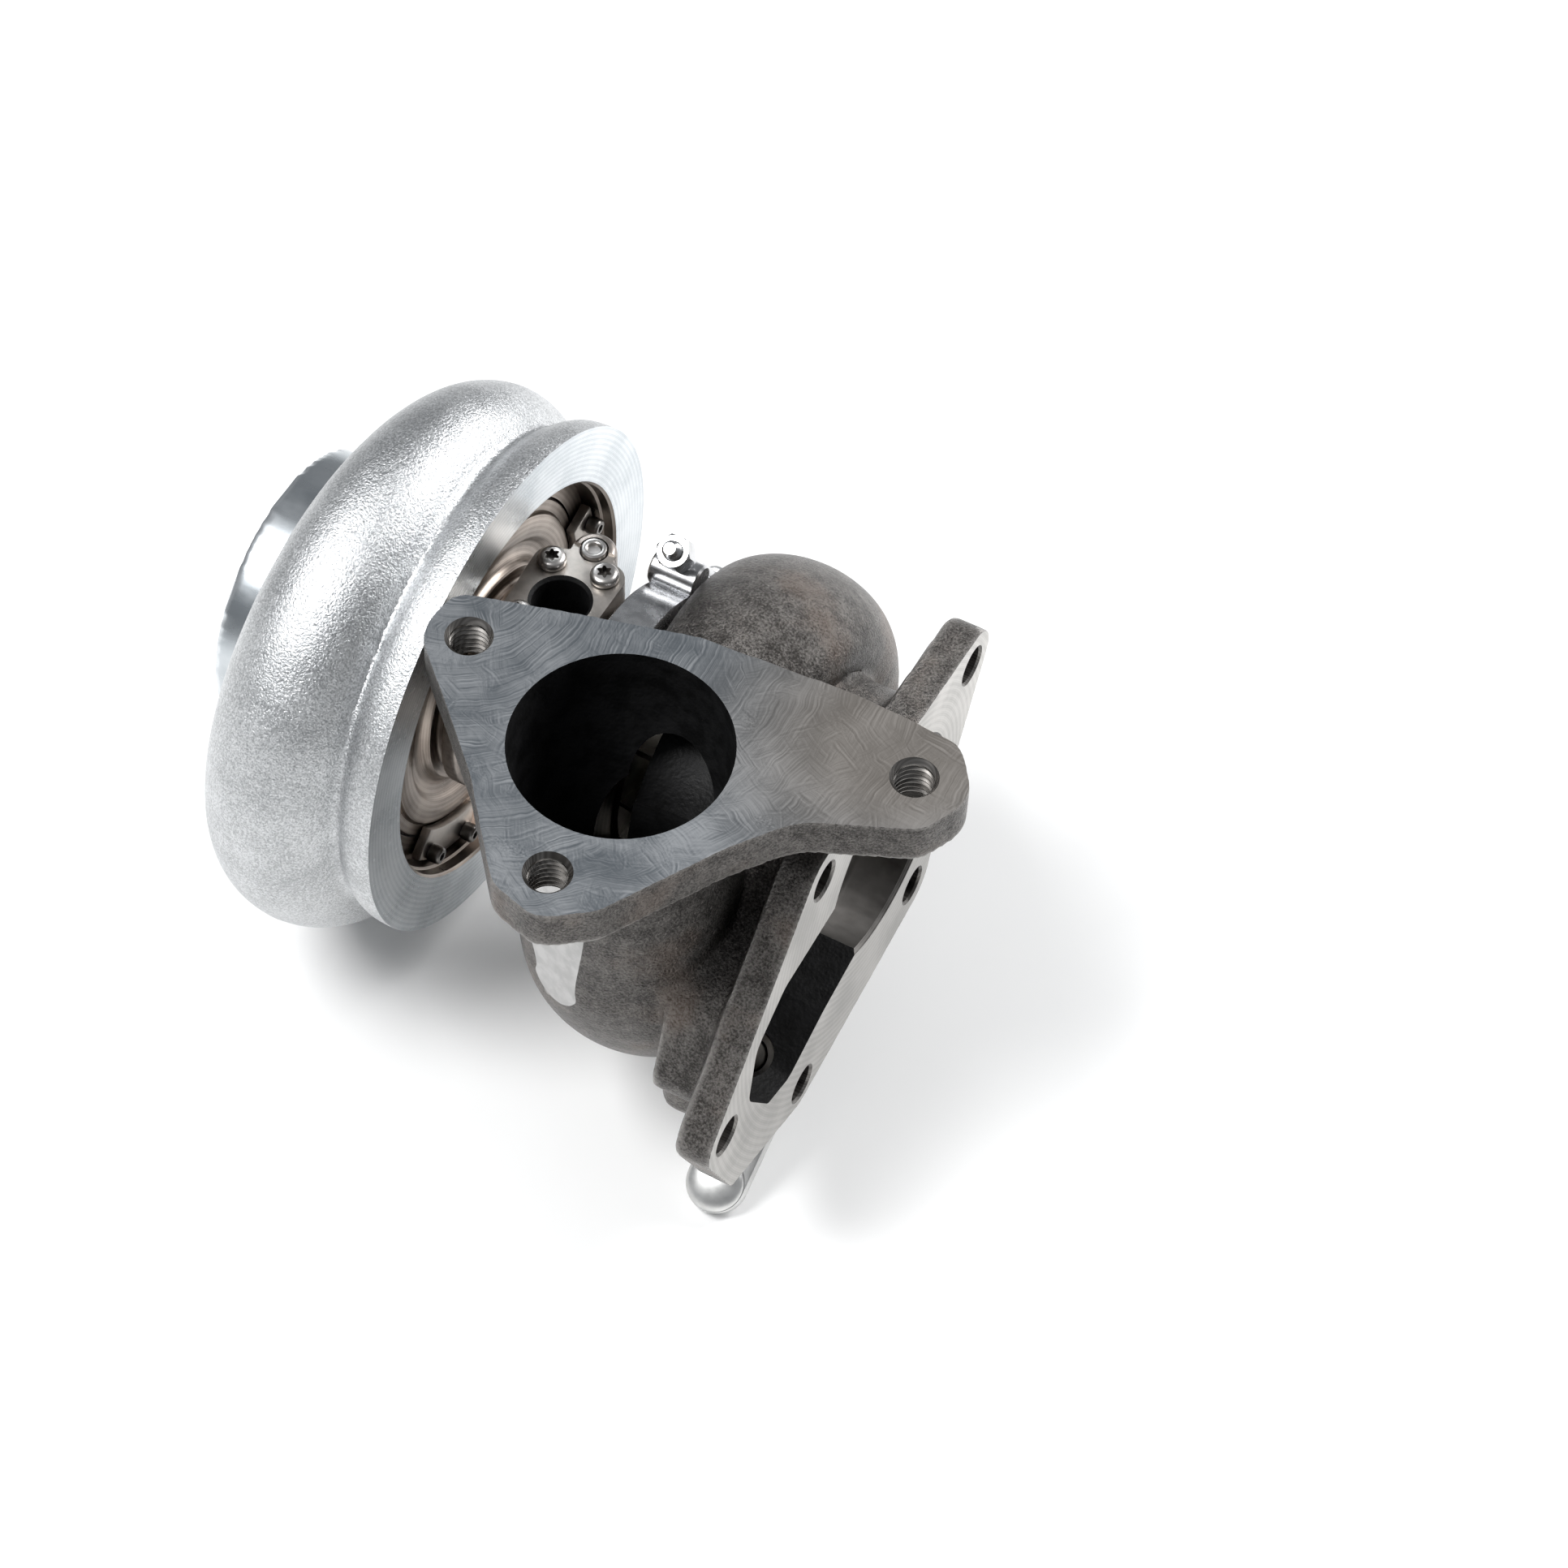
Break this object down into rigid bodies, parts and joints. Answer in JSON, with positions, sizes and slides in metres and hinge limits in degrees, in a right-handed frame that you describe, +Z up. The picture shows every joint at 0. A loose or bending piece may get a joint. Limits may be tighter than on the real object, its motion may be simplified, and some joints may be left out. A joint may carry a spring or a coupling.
{
  "type": "turbocharger",
  "caption": "Exhaust turbocharger with volute compressor cover, bearing housing, V-band clamp, flanged turbine housing and internal wastegate.",
  "frame": {"origin": "middle of the unit's outline on the bench it lies on, at its lowest point", "axes": "+X along the shaft from the compressor to the turbine outlet, +Z up, out of the turbine inlet flange, +Y out of the compressor outlet"},
  "size_m": [0.1844, 0.1622, 0.1442],
  "materials": {
    "cast_aluminium": "blasted as-cast",
    "machined_aluminium": "turned",
    "housing_steel": "warm satin",
    "cast_iron": "as-cast, machined faces",
    "bright_steel": "bright",
    "nickel_alloy": "heat-resisting alloy, matt",
    "bearing_bronze": "machined",
    "rubber": "matt"
  },
  "bodies": {
    "housings": {"compressor_cover": "cast_aluminium", "backplate": "housing_steel", "backplate_o_ring": "rubber", "seal_insert": "machined_aluminium", "compressor_piston_ring": "bright_steel", "thrust_bearing": "bearing_bronze", "turbine_piston_ring": "bright_steel", "heat_shield": "nickel_alloy", "bearing_housing": "housing_steel", "pressed_plug": "bright_steel", "journal_bearing_compressor": "bearing_bronze", "journal_bearing_turbine": "bearing_bronze", "bearing_spacer": "bright_steel", "turbine_housing": "cast_iron", "clamp_half_upper": "bright_steel", "clamp_half_lower": "bright_steel", "clamp_t_bolt": "bright_steel", "clamp_nut": "bright_steel", "spindle_bush": "bright_steel", "clamp_plate_1": "bright_steel", "pad_screw_1": "bright_steel", "clamp_plate_2": "bright_steel", "pad_screw_2": "bright_steel", "clamp_plate_3": "bright_steel", "pad_screw_3": "bright_steel", "clamp_screw_1": "bright_steel", "clamp_screw_2": "bright_steel", "clamp_screw_3": "bright_steel", "clamp_screw_4": "bright_steel", "clamp_screw_5": "bright_steel", "clamp_screw_6": "bright_steel"},
    "rotor": {"turbine_shaft_wheel": "nickel_alloy", "compressor_wheel": "machined_aluminium", "compressor_nut": "bright_steel", "thrust_collar": "bright_steel", "thrust_washer": "bright_steel"},
    "wastegate": {"wastegate_arm": "nickel_alloy", "wastegate_valve": "nickel_alloy", "valve_washer": "bright_steel", "wastegate_lever": "bright_steel", "lever_pin": "bright_steel", "lever_pin_clip": "bright_steel"}
  },
  "joints": [
    {"name": "rotor_spin", "type": "hinge", "parent": "housings", "child": "rotor", "pos_m": [-0.0022, 0.00907, 0.077], "axis": [1, 0, 0], "continuous": true},
    {"name": "wastegate_swing", "type": "hinge", "parent": "housings", "child": "wastegate", "pos_m": [0.0553, -0.03842, 0.04732], "axis": [0, 0.53, -0.848], "range_deg": [0, 30]}
  ]
}
